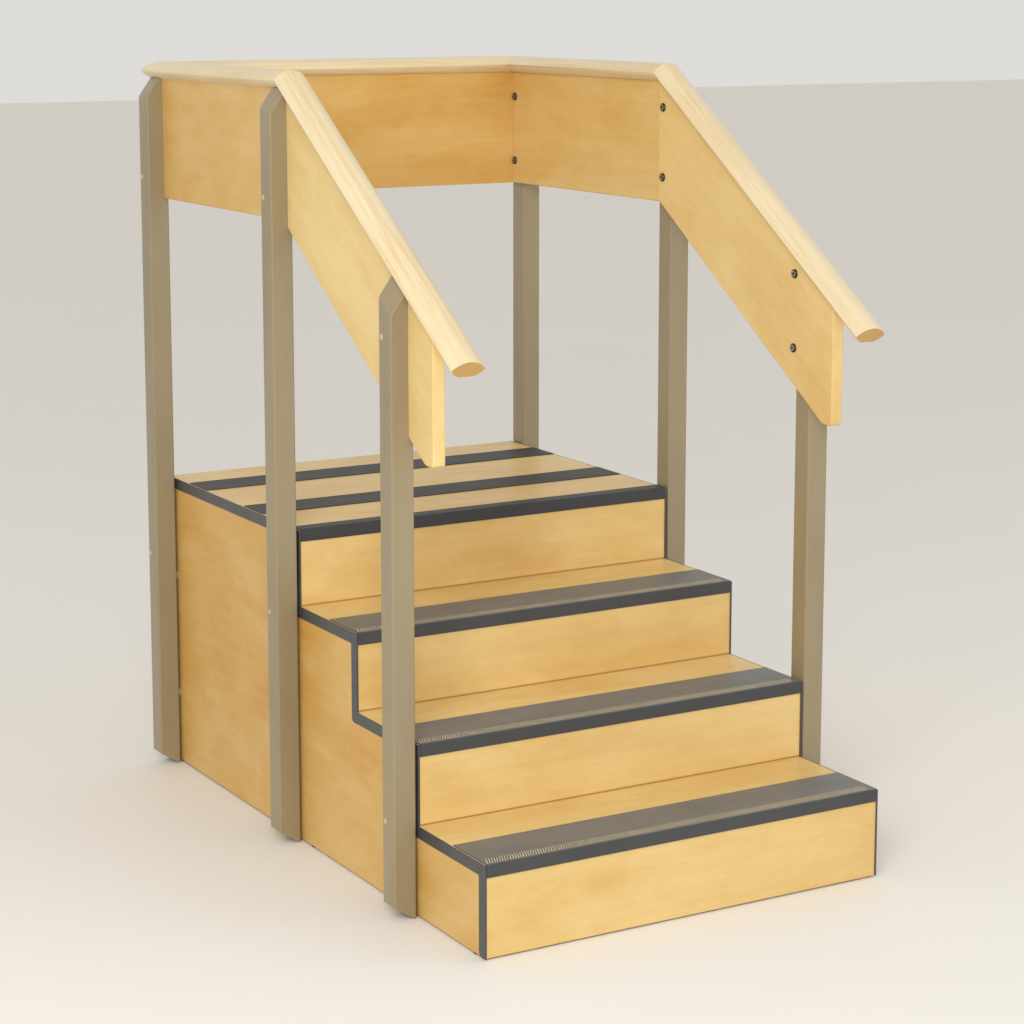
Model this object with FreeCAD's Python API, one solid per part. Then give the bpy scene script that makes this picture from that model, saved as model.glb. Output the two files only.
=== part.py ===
import FreeCAD, Part
import math
import os

# Wooden training stairs: three treads, a standing platform, six posts, guard panels and a handrail.
# Millimetres. While modelling, X = 0 is the middle of the stairs, Y = 0 is the front face of the lowest
# riser with +Y going back towards the platform, and Z = 0 is the floor. Each piece is shifted along Y as
# it is written, so that the origin ends up under the middle of the whole object.

# ---- Driving dimensions: stair body ----
tread_count = 3
body_width = 820.0            # over the edge bands
first_rise = 166.0            # floor to the first tread's top
rise = 146.0                  # each further step
run = 234.0                   # riser face to riser face
platform_depth = 626.0
tread_board = 22.0
riser_board = 20.0
side_board = 19.0
stringer_board = 19.0
back_board = 19.0
glide_height = 3.0
glide_radius = 9.0
cleat_size = 25.0
cleat_end_gap = 5.0

# ---- Vinyl and edge trim ----
vinyl = 2.0
vinyl_side_margin = 1.0       # bare board beside the vinyl
vinyl_end_gap = 0.5           # between a nosing's front leg and the corner strips
nosing_depth = 113.0          # behind the riser's face, on a tread
platform_nosing_depth = 30.0
strip_middle_start = 167.0    # behind the platform's front edge
strip_middle_depth = 87.0
strip_rear_start = 435.0
strip_rear_depth = 88.0
trim = 2.0                    # thickness of the edge bands and corner strips
trim_proud = 1.0              # how far the bands stand out from the side panels
corner_front_leg = 3.5
corner_radius = 9.0

# ---- Posts ----
post_size = 44.0
post_gap = 4.0                # between a post and the edge bands
post_edge_radius = 4.0
post_lead = 2.0               # how far a post stands ahead of the riser beside it
notch_depth = 10.0            # how far a guard is let into a post
top_flat = 17.0               # level part of a post's top, from its inner face
top_fall = 38.0
foot_flat = 8.0
foot_rise = 26.0

# ---- Guards and handrail ----
guard_thickness = 24.0
guard_clear_height = 578.0    # platform to the guards' lower edge
guard_overhang = 86.0         # how far a sloped guard reaches ahead of the front post
guard_toe = 29.0              # level stretch of its lower edge
rail_width = 66.0
rail_crown = 18.5             # above the rail's widest line
rail_belly = 14.0             # below it
rail_seat_half = 14.0         # half of the flat underside
rail_height = 833.0           # platform to the rail's widest line
rail_bend_lead = 10.0         # bend in the rail, ahead of the middle post's centre
rail_overhang = 96.0          # how far the rail reaches ahead of the sloped guard
slope_deg = 34.0

# ---- Fasteners ----
bolt_radius = 3.0
bolt_head_radius = 8.5
bolt_head_height = 4.0
body_bolt_head_radius = 8.0
thread_clearance = 0.1
hole_clearance = 0.4
insert_radius = 5.0
insert_length = 16.0
insert_clearance = 0.1
guard_bolt_spacing = 138.0
guard_bolt_drop = 54.0        # upper bolt, below the guard's top
guard_bolt_drop_front = 37.0
bolt_rise_low = 150.0
bolt_drop_high = 204.0        # upper body bolts, below the platform
front_bolt_drop_low = 66.0    # below the first tread's top
front_bolt_drop_high = 62.0   # below the second tread's top
front_bolt_low_offset = 22.0  # behind the front post's front face
front_bolt_high_offset = 34.0
guard_bolt_offset_front = 33.0
guard_bolt_offset_middle = 10.0
head_gap = 2.0                # between the rear guard bolts' heads and the back guard
body_head_gap = 5.0           # between the rear body bolts' heads and the back panel
spacer_radius = 10.0
screw_radius = 2.0
screw_clearance = 0.2
screw_embed = 14.0            # length of a screw inside the guard or the side panel
plug_radius = 5.0
plug_depth = 6.0
plug_proud = 0.5
plug_offset = 32.0            # behind the post's front face
plug_above_guard_bottom = 43.0
front_plug_above_guard = 150.0
low_plug_drop = 156.0         # below the platform
front_low_plug_rise = 9.0     # above the first tread's top
dowel_radius = 4.0
dowel_in_guard = 25.0
dowel_in_rail = 12.0
dowel_in_side_guard = 12.0
dowel_in_back_guard = 30.0
dowel_clearance = 0.1

# ---- Worked out from the above ----
margin = 5.0                  # how far a cutting tool overshoots
top_step = tread_count + 1
half_width = body_width / 2
board_half = half_width - trim
side_outer = half_width - trim_proud
side_inner = side_outer - side_board
platform_front = tread_count * run
back_y = platform_front + platform_depth
stringer_half = stringer_board / 2
post_inner = half_width + post_gap
post_outer = post_inner + post_size
front_post_y = run - post_lead
middle_post_y = platform_front - post_lead
rear_post_y = back_y - post_size
seam_y = middle_post_y + post_size / 2
guard_outer = post_inner + notch_depth
guard_inner = guard_outer - guard_thickness
platform_level = first_rise + tread_count * rise
guard_bottom = platform_level + guard_clear_height
guard_end_y = front_post_y - guard_overhang
rail_centre_z = platform_level + rail_height
rail_bend_y = seam_y - rail_bend_lead
rail_end_y = guard_end_y - rail_overhang
guard_top = rail_centre_z - rail_belly
rail_x = guard_outer - rail_seat_half
back_guard_y = back_y - guard_thickness
back_rail_y = back_y - guard_thickness / 2
slope = math.radians(slope_deg)
fall = math.tan(slope)
footprint_front = -vinyl
footprint_back = back_rail_y + rail_width / 2
y_shift = (footprint_front + footprint_back) / 2

LEFT, RIGHT = -1, 1
SIDES = {"left": LEFT, "right": RIGHT}


def level(step):
    """Height of the top of a step; the platform is the last step."""
    return first_rise + (step - 1) * rise


def front(step):
    """Front face of the riser under a step."""
    return (step - 1) * run


def riser_bottom(step):
    return glide_height if step == 1 else level(step - 1) - tread_board


def rail_underside(y):
    """Height of the underside of the sloped rail at a place along the stairs."""
    return rail_centre_z - (rail_bend_y - y) * fall - rail_belly / math.cos(slope)


def guard_lower_edge(y):
    """Height of the lower edge of the sloped guard."""
    return guard_bottom - (seam_y - y) * fall


# ---- Shape helpers ----
def block(x_span, y_span, z_span):
    """Box between two X, two Y and two Z values."""
    low = FreeCAD.Vector(x_span[0], y_span[0], z_span[0])
    return Part.makeBox(x_span[1] - x_span[0], y_span[1] - y_span[0], z_span[1] - z_span[0], low)


def across(side, inner, outer):
    """X span between two distances from the middle, on one side."""
    return tuple(sorted((side * inner, side * outer)))


def prism(points, direction):
    """Solid made by sweeping a closed outline along a straight direction."""
    outline = [FreeCAD.Vector(*point) for point in points]
    face = Part.Face(Part.makePolygon(outline + outline[:1]))
    return face.extrude(FreeCAD.Vector(*direction))


def slab(outline, x_span):
    """Board standing along the stairs, from its (y, z) outline."""
    return prism([(x_span[0], y, z) for y, z in outline], (x_span[1] - x_span[0], 0, 0))


def rod(radius, x_span, y, z):
    """Round bar along X."""
    start = FreeCAD.Vector(x_span[0], y, z)
    return Part.makeCylinder(radius, x_span[1] - x_span[0], start, FreeCAD.Vector(1, 0, 0))


def pin(radius, centre, direction, back, ahead):
    """Round bar through a point, reaching back and ahead along a direction."""
    way = FreeCAD.Vector(*direction)
    start = FreeCAD.Vector(*centre) - way * back
    return Part.makeCylinder(radius, back + ahead, start, way)


def group(solids):
    return Part.makeCompound(solids)


def drilled(shape, tools):
    return shape.cut(group(tools)) if tools else shape


# ---- Where the fasteners are: (y, z) along each post ----
def post_fronts():
    return {"front": front_post_y, "middle": middle_post_y, "rear": rear_post_y}


def guard_bolt_places(name):
    if name == "front":
        y = front_post_y + guard_bolt_offset_front
        top = rail_underside(y) - guard_bolt_drop_front
    elif name == "middle":
        y = middle_post_y + guard_bolt_offset_middle
        top = guard_top - guard_bolt_drop
    else:
        y = back_guard_y - head_gap - bolt_head_radius
        top = guard_top - guard_bolt_drop
    return [(y, top), (y, top - guard_bolt_spacing)]


def body_bolt_places(name):
    if name == "front":
        return [(front_post_y + front_bolt_low_offset, level(1) - front_bolt_drop_low),
                (front_post_y + front_bolt_high_offset, level(2) - front_bolt_drop_high)]
    if name == "middle":
        y = middle_post_y + post_size / 2
    else:
        y = back_y - back_board - body_head_gap - body_bolt_head_radius
    return [(y, bolt_rise_low), (y, platform_level - bolt_drop_high)]


def plug_places(name):
    """The upper plug, over the screw into the guard, and the lower, over the screw into the body."""
    y = post_fronts()[name] + plug_offset
    if name == "front":
        return [(y, guard_lower_edge(y) + front_plug_above_guard), (y, level(1) + front_low_plug_rise)]
    return [(y, guard_bottom + plug_above_guard_bottom), (y, platform_level - low_plug_drop)]


def every_place(places):
    return [place for name in post_fronts() for place in places(name)]


# ---- Stair body ----
def stepped_outline(back):
    """Outline of a board under the treads, behind the risers."""
    points = [(riser_board, glide_height)]
    for step in range(1, top_step + 1):
        top = level(step) - tread_board
        points.append((front(step) + riser_board, top))
        points.append((back if step == top_step else front(step + 1) + riser_board, top))
    points.append((back, glide_height))
    return points


def side_panel(side):
    span = across(side, side_inner, side_outer)
    holes = [rod(bolt_radius + hole_clearance, span, y, z) for y, z in every_place(body_bolt_places)]
    screw_tip = side_outer - screw_embed
    for name in post_fronts():
        y, z = plug_places(name)[1]
        holes.append(rod(screw_radius + screw_clearance, across(side, screw_tip, side_outer), y, z))
    return drilled(slab(stepped_outline(back_y), span), holes)


def centre_stringer():
    return slab(stepped_outline(back_y - back_board), (-stringer_half, stringer_half))


def back_panel():
    top = level(top_step) - tread_board
    return block((-side_inner, side_inner), (back_y - back_board, back_y), (glide_height, top))


def riser(step):
    return block((-board_half, board_half), (front(step), front(step) + riser_board),
                 (riser_bottom(step), level(step) - tread_board))


def step_board(step):
    end = back_y if step == top_step else front(step + 1)
    return block((-board_half, board_half), (front(step), end), (level(step) - tread_board, level(step)))


def cleats(steps):
    """Glue strips in the corners under the boards, along both side panels."""
    solids = []
    for step in steps:
        start = front(step) + riser_board + cleat_end_gap
        end = (back_y - back_board if step == top_step else front(step + 1)) - cleat_end_gap
        top = level(step) - tread_board
        for side in SIDES.values():
            solids.append(block(across(side, side_inner - cleat_size, side_inner),
                                (start, end), (top - cleat_size, top)))
    return group(solids)


def floor_glides():
    middle = side_outer - side_board / 2
    ends = (riser_board + 2 * glide_radius, back_y - back_board - 2 * glide_radius)
    places = [(x, y) for x in (-middle, 0, middle) for y in ends]
    places += [(side * middle, sum(ends) / 2) for side in SIDES.values()]
    return group([Part.makeCylinder(glide_radius, glide_height, FreeCAD.Vector(x, y, 0))
                  for x, y in places])


# ---- Vinyl and edge trim ----
def nosing(step, depth):
    """Vinyl folded over the front edge of a board: a top leg and a front leg."""
    face = front(step)
    top_half = board_half - vinyl_side_margin
    front_half = half_width - corner_front_leg - vinyl_end_gap
    top_leg = block((-top_half, top_half), (face, face + depth), (level(step), level(step) + vinyl))
    lip = block((-front_half, front_half), (face - vinyl, face), (level(step), level(step) + vinyl))
    front_leg = block((-front_half, front_half), (face - vinyl, face),
                      (level(step) - tread_board, level(step)))
    return top_leg.fuse([lip, front_leg]).removeSplitter()


def platform_strip(start, depth):
    half = board_half - vinyl_side_margin
    y = platform_front + start
    return block((-half, half), (y, y + depth), (level(top_step), level(top_step) + vinyl))


def edge_trim(side, step):
    start = front(step) + riser_board
    end = back_y if step == top_step else front(step + 1) - vinyl
    return block(across(side, board_half, half_width), (start, end), (level(step) - tread_board, level(step)))


def corner_trim(side, step):
    """L-shaped strip over the end of a riser, rounded at its lower rear corner."""
    face = front(step)
    rear = face + riser_board
    low = riser_bottom(step)
    top = level(step)
    leg = block(across(side, board_half, half_width), (face - vinyl, rear), (low, top))
    rounded = [edge for edge in leg.Edges
               if all(abs(v.Point.y - rear) < 0.01 and abs(v.Point.z - low) < 0.01 for v in edge.Vertexes)]
    leg = leg.makeFillet(corner_radius, rounded)
    front_low = low if step == 1 else level(step - 1)
    front_leg = block(across(side, half_width - corner_front_leg, board_half), (face - vinyl, face),
                      (front_low, top))
    return leg.fuse(front_leg).removeSplitter()


# ---- Guards ----
def level_guard_outline():
    return [(seam_y, guard_bottom), (back_y, guard_bottom), (back_y, guard_top), (seam_y, guard_top)]


def slope_guard_outline():
    toe_y = guard_end_y + guard_toe
    toe_z = guard_lower_edge(toe_y)
    under_bend = rail_bend_y + (rail_belly / math.cos(slope) - rail_belly) / fall
    return [(seam_y, guard_bottom), (seam_y, guard_top), (under_bend, guard_top),
            (guard_end_y, rail_underside(guard_end_y)), (guard_end_y, toe_z), (toe_y, toe_z)]


def guard_drillings(side):
    """Holes for the bolts, the wood screws and the back guard's pins in a side guard."""
    span = across(side, guard_inner, guard_outer)
    holes = [rod(bolt_radius + hole_clearance, span, y, z) for y, z in every_place(guard_bolt_places)]
    for name in post_fronts():
        y, z = plug_places(name)[0]
        embed = across(side, guard_outer - screw_embed, guard_outer)
        holes.append(rod(screw_radius + screw_clearance, embed, y, z))
    return holes + back_dowels(dowel_radius + dowel_clearance)


def side_guard(side, outline, rail_pins):
    panel = slab(outline, across(side, guard_inner, guard_outer))
    return drilled(panel, guard_drillings(side) + rail_pins)


def back_guard(rail_pins):
    panel = block((-guard_inner, guard_inner), (back_guard_y, back_y), (guard_bottom, guard_top))
    return drilled(panel, back_dowels(dowel_radius + dowel_clearance) + rail_pins)


# ---- Posts ----
def post_top_waste(side, face, under_rail, incline):
    """What is cut off a post's top: it runs along the rail near the stairs, then falls outwards."""
    reach = post_size + 2 * margin
    drop_rate = top_fall / (post_size - top_flat)
    start_y = face - margin
    top = under_rail - margin * incline
    low = top - drop_rate * (post_size - top_flat + margin)
    above = max(top, rail_centre_z) + reach
    shoulder = side * (post_inner + top_flat)
    outside = side * (post_outer + margin)
    inside = side * (post_inner - margin)
    return prism([(inside, start_y, top), (shoulder, start_y, top), (outside, start_y, low),
                  (outside, start_y, above), (inside, start_y, above)], (0, reach, reach * incline))


def post_foot_waste(side, face):
    """What is cut off a post's foot, so that its outer side stands clear of the floor."""
    toe_x = side * (post_inner + foot_flat)
    outside = side * (post_outer + margin)
    toe_rate = foot_rise / (post_size - foot_flat)
    start_y = face - margin
    return prism([(toe_x, start_y, 0), (outside, start_y, foot_rise + margin * toe_rate),
                  (outside, start_y, -margin), (toe_x, start_y, -margin)], (0, post_size + 2 * margin, 0))


def post(side, name):
    """Square post with rounded edges, notched for the guard, with a falling top and a raised toe."""
    face = post_fronts()[name]
    y_span = (face, face + post_size)
    x_span = across(side, post_inner, post_outer)
    height = rail_centre_z
    body = block(x_span, y_span, (0, height))
    upright = [edge for edge in body.Edges if abs(edge.BoundBox.ZLength - height) < 0.01]
    body = body.makeFillet(post_edge_radius, upright)
    notch_span = across(side, post_inner - margin, guard_outer)
    notches = [slab(slope_guard_outline(), notch_span), slab(level_guard_outline(), notch_span)]
    holes = []
    for places, inner_face in ((guard_bolt_places, guard_outer), (body_bolt_places, post_inner)):
        for y, z in places(name):
            end = inner_face + insert_length
            holes.append(rod(insert_radius + insert_clearance, across(side, inner_face, end), y, z))
    for y, z in plug_places(name):
        holes.append(rod(plug_radius, across(side, post_outer - plug_depth, post_outer + margin), y, z))
        holes.append(rod(screw_radius + screw_clearance, across(side, post_inner, post_outer), y, z))
    waste = [post_top_waste(side, face, guard_top, 0.0),
             post_top_waste(side, face, rail_underside(face), fall),
             post_foot_waste(side, face)]
    return body.cut(waste + notches + holes)


# ---- Handrail ----
def rail_section(origin, across_way, up_way):
    """Lens-shaped face of the handrail: a domed crown, a rounded belly and a flat seat."""
    base = FreeCAD.Vector(*origin)
    out = FreeCAD.Vector(*across_way)
    up = FreeCAD.Vector(*up_way)

    def at(sideways, high):
        return base + out * sideways + up * high

    half = rail_width / 2
    shoulder = ((half + rail_seat_half) / 2 + 1.0, -rail_belly / 2 - 1.1)
    crown = Part.Arc(at(half, 0), at(0, rail_crown), at(-half, 0))
    left_belly = Part.Arc(at(-half, 0), at(-shoulder[0], shoulder[1]), at(-rail_seat_half, -rail_belly))
    seat = Part.LineSegment(at(-rail_seat_half, -rail_belly), at(rail_seat_half, -rail_belly))
    right_belly = Part.Arc(at(rail_seat_half, -rail_belly), at(shoulder[0], shoulder[1]), at(half, 0))
    edges = [curve.toShape() for curve in (crown, left_belly, seat, right_belly)]
    return Part.Face(Part.Wire(edges))


def bend_keep(ahead):
    """Block on one side of the mitre at the bend: behind it (level rail) or ahead of it (sloped rail)."""
    reach = 2000.0
    tilt = slope / 2
    top = (rail_bend_y - reach * math.sin(tilt), rail_centre_z + reach * math.cos(tilt))
    low = (rail_bend_y + reach * math.sin(tilt), rail_centre_z - reach * math.cos(tilt))
    far = -reach if ahead else back_y + reach
    half = post_outer + reach
    return slab([top, low, (far, low[1]), (far, top[1])], (-half, half))


def corner_keep(along_back):
    """Block inside the 45-degree mitres at the two rear corners, for the back rail or the side rails."""
    reach = back_rail_y
    tip = back_rail_y - rail_x
    if along_back:
        points = [(0, tip, 0), (reach, tip + reach, 0), (-reach, tip + reach, 0)]
        return prism(points, (0, 0, 2 * rail_centre_z))
    solids = []
    for side in SIDES.values():
        points = [(0, tip, 0), (side * reach, tip + reach, 0), (side * reach, -reach, 0), (0, -reach, 0)]
        solids.append(prism(points, (0, 0, 2 * rail_centre_z)))
    return group(solids)


def level_rail(side, pins):
    start = FreeCAD.Vector(side * rail_x, rail_bend_y - rail_width, rail_centre_z)
    length = back_rail_y + 2 * rail_width - start.y
    bar = rail_section(start, (1, 0, 0), (0, 0, 1)).extrude(FreeCAD.Vector(0, length, 0))
    mitred = bar.common(bend_keep(False)).common(corner_keep(False))
    return drilled(mitred, pins)


def slope_rail(side, pins):
    end_z = rail_centre_z - (rail_bend_y - rail_end_y) * fall
    start = FreeCAD.Vector(side * rail_x, rail_end_y, end_z)
    length = (rail_bend_y - rail_end_y) / math.cos(slope) + rail_width
    way = FreeCAD.Vector(0, math.cos(slope), math.sin(slope))
    bar = rail_section(start, (1, 0, 0), (0, -math.sin(slope), math.cos(slope))).extrude(way * length)
    return drilled(bar.common(bend_keep(True)), pins)


def back_rail(pins):
    start = FreeCAD.Vector(-rail_x - rail_width, back_rail_y, rail_centre_z)
    length = 2 * (rail_x + rail_width)
    bar = rail_section(start, (0, 1, 0), (0, 0, 1)).extrude(FreeCAD.Vector(length, 0, 0))
    return drilled(bar.common(corner_keep(True)), pins)


# ---- Wooden pins ----
def spread(first, last, count):
    return [first + (last - first) * step / (count - 1) for step in range(count)]


def back_dowels(radius):
    """Pins from the back guard's ends into the side guards."""
    solids = []
    for side in SIDES.values():
        span = across(side, guard_inner - dowel_in_back_guard, guard_inner + dowel_in_side_guard)
        for z in (guard_bottom + 2 * dowel_in_back_guard, guard_top - 2 * dowel_in_back_guard):
            solids.append(rod(radius, span, back_rail_y, z))
    return solids


def level_pins(side, radius):
    x = side * (guard_inner + guard_thickness / 2)
    places = spread(middle_post_y + 2 * post_size, rear_post_y - post_size, 3)
    return [pin(radius, (x, y, guard_top), (0, 0, 1), dowel_in_guard, dowel_in_rail) for y in places]


def slope_pins(side, radius):
    x = side * (guard_inner + guard_thickness / 2)
    places = spread(guard_end_y + post_size, middle_post_y - post_size, 4)
    way = (0, -math.sin(slope), math.cos(slope))
    return [pin(radius, (x, y, rail_underside(y)), way, dowel_in_guard, dowel_in_rail) for y in places]


def back_pins(radius):
    places = spread(-guard_inner + 2 * post_size, guard_inner - 2 * post_size, 3)
    return [pin(radius, (x, back_rail_y, guard_top), (0, 0, 1), dowel_in_guard, dowel_in_rail)
            for x in places]


def rail_dowels():
    solids = back_dowels(dowel_radius) + back_pins(dowel_radius)
    for side in SIDES.values():
        solids += level_pins(side, dowel_radius) + slope_pins(side, dowel_radius)
    return group(solids)


# ---- Fasteners ----
def dome_bolt(side, head_face, head_radius, tip, y, z):
    """Bolt along X with a domed head on a board's inner face and its shank pointing outwards."""
    sphere_radius = (head_radius ** 2 + bolt_head_height ** 2) / (2 * bolt_head_height)
    centre = FreeCAD.Vector(side * (head_face - bolt_head_height + sphere_radius), y, z)
    dome = Part.makeSphere(sphere_radius, centre)
    head = dome.common(rod(head_radius, across(side, head_face - bolt_head_height - 1, head_face), y, z))
    return head.fuse(rod(bolt_radius, across(side, head_face, tip), y, z)).removeSplitter()


def guard_bolts():
    tip = guard_outer + insert_length
    return group([dome_bolt(side, guard_inner, bolt_head_radius, tip, y, z)
                  for side in SIDES.values() for y, z in every_place(guard_bolt_places)])


def body_bolts():
    tip = post_inner + insert_length
    return group([dome_bolt(side, side_inner, body_bolt_head_radius, tip, y, z)
                  for side in SIDES.values() for y, z in every_place(body_bolt_places)])


def sleeve(radius, bore, x_span, y, z):
    return rod(radius, x_span, y, z).cut(rod(bore, x_span, y, z))


def post_inserts():
    bore = bolt_radius + thread_clearance
    solids = []
    for side in SIDES.values():
        for places, face in ((guard_bolt_places, guard_outer), (body_bolt_places, post_inner)):
            span = across(side, face, face + insert_length)
            solids += [sleeve(insert_radius, bore, span, y, z) for y, z in every_place(places)]
    return group(solids)


def post_spacers():
    bore = bolt_radius + hole_clearance
    return group([sleeve(spacer_radius, bore, across(side, side_outer, post_inner), y, z)
                  for side in SIDES.values() for y, z in every_place(body_bolt_places)])


def post_screws():
    solids = []
    head = post_outer - plug_depth
    for side in SIDES.values():
        for name in post_fronts():
            tips = (guard_outer - screw_embed, side_outer - screw_embed)
            for (y, z), tip in zip(plug_places(name), tips):
                solids.append(rod(screw_radius, across(side, tip, head), y, z))
    return group(solids)


def post_plugs():
    span_ends = (post_outer - plug_depth, post_outer + plug_proud)
    return group([rod(plug_radius, across(side, *span_ends), y, z)
                  for side in SIDES.values() for y, z in every_place(plug_places)])


# ---- Write one file per piece ----
def export(name, shape):
    placed = shape.copy()
    placed.translate(FreeCAD.Vector(0, -y_shift, 0))
    placed.exportStep("parts/" + name + ".step")


def export_body():
    export("centre_stringer", centre_stringer())
    export("back_panel", back_panel())
    export("tread_cleats", cleats(range(1, top_step)))
    export("platform_cleats", cleats([top_step]))
    export("floor_glides", floor_glides())
    for step in range(1, top_step + 1):
        export("riser_%d" % step, riser(step))
        if step < top_step:
            export("tread_%d" % step, step_board(step))
            export("tread_nosing_%d" % step, nosing(step, nosing_depth))
    export("platform_top", step_board(top_step))
    export("platform_nosing", nosing(top_step, platform_nosing_depth))
    export("platform_strip_middle", platform_strip(strip_middle_start, strip_middle_depth))
    export("platform_strip_rear", platform_strip(strip_rear_start, strip_rear_depth))


def export_side(word, side):
    hole = dowel_radius + dowel_clearance
    on_slope = slope_pins(side, hole)
    on_level = level_pins(side, hole)
    export("side_panel_" + word, side_panel(side))
    for step in range(1, top_step + 1):
        export("edge_trim_%s_%d" % (word, step), edge_trim(side, step))
        export("corner_trim_%s_%d" % (word, step), corner_trim(side, step))
    for name in post_fronts():
        export("post_%s_%s" % (word, name), post(side, name))
    export("guard_%s_level" % word, side_guard(side, level_guard_outline(), on_level))
    export("guard_%s_slope" % word, side_guard(side, slope_guard_outline(), on_slope))
    export("rail_%s_level" % word, level_rail(side, on_level))
    export("rail_%s_slope" % word, slope_rail(side, on_slope))


def main():
    os.makedirs("parts", exist_ok=True)
    export_body()
    for word, side in SIDES.items():
        export_side(word, side)
    hole = dowel_radius + dowel_clearance
    export("guard_back", back_guard(back_pins(hole)))
    export("rail_back", back_rail(back_pins(hole)))
    export("rail_dowels", rail_dowels())
    export("guard_bolts", guard_bolts())
    export("body_bolts", body_bolts())
    export("post_inserts", post_inserts())
    export("post_spacers", post_spacers())
    export("post_screws", post_screws())
    export("post_plugs", post_plugs())


main()
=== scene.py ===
import math
from contextlib import contextmanager

import bmesh
import bpy
from bpy.props import FloatProperty, FloatVectorProperty, IntProperty, PointerProperty
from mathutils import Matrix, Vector


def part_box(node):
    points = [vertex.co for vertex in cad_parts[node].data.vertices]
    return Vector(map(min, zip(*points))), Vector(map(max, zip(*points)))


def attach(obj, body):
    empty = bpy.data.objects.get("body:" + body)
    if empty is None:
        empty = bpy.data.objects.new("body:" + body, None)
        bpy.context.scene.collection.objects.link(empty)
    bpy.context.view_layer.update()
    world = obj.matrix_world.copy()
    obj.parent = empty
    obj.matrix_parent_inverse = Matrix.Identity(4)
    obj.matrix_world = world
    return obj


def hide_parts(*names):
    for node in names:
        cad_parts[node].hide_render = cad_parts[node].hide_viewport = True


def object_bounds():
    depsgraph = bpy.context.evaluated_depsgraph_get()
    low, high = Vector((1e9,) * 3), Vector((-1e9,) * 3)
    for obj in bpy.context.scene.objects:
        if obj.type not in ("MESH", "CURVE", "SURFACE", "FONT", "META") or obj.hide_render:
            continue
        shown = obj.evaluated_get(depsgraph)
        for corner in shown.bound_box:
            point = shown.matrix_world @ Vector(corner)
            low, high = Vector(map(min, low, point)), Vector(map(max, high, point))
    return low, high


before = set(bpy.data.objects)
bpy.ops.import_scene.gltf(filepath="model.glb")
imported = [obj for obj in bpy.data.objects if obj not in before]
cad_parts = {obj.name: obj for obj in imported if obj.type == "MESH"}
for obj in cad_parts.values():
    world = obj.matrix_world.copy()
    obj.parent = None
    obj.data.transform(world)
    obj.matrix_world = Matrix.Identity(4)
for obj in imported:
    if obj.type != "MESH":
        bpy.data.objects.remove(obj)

bl_info = {
    "name": "Training Stairs",
    "version": (1, 0, 0),
    "blender": (4, 5, 0),
    "location": "3D View > Sidebar > Training Stairs",
    "description": "Wooden training stairs with a platform, posts, guard panels and a handrail",
    "category": "Object",
}

CAD_LOW, CAD_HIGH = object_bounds()
STEPS = (1, 2, 3, 4)
TREADS = STEPS[:-1]
SIDES = {"left": -1, "right": 1}
POSTS = ("front", "middle", "rear")
DOWN, UP = Vector((0, 0, -1)), Vector((0, 0, 1))
ACROSS, AHEAD = Vector((1, 0, 0)), Vector((0, 1, 0))
ROD_ALONG_X = (0, math.radians(90), 0)
ROD_ALONG_Y = (math.radians(90), 0, 0)
NEAR = 0.0001  # places closer than this, in metres, count as one
END_ON = 0.97  # cosine above which a face belongs to a rail's cut end
SQUARE_ON = 0.9  # cosine above which a face or an edge counts as lying along an axis


# ---- Sizes and colours that a user may change ----
def metres(name, description, default):
    return FloatProperty(name=name, description=description, default=default, unit="LENGTH")


def spot(name, description, default):
    return FloatVectorProperty(name=name, description=description, default=default, subtype="XYZ",
                               unit="LENGTH")


def colour(name, description, value):
    return FloatVectorProperty(name=name, description=description, default=value, subtype="COLOR", size=3,
                               min=0.0, max=1.0)


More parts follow.
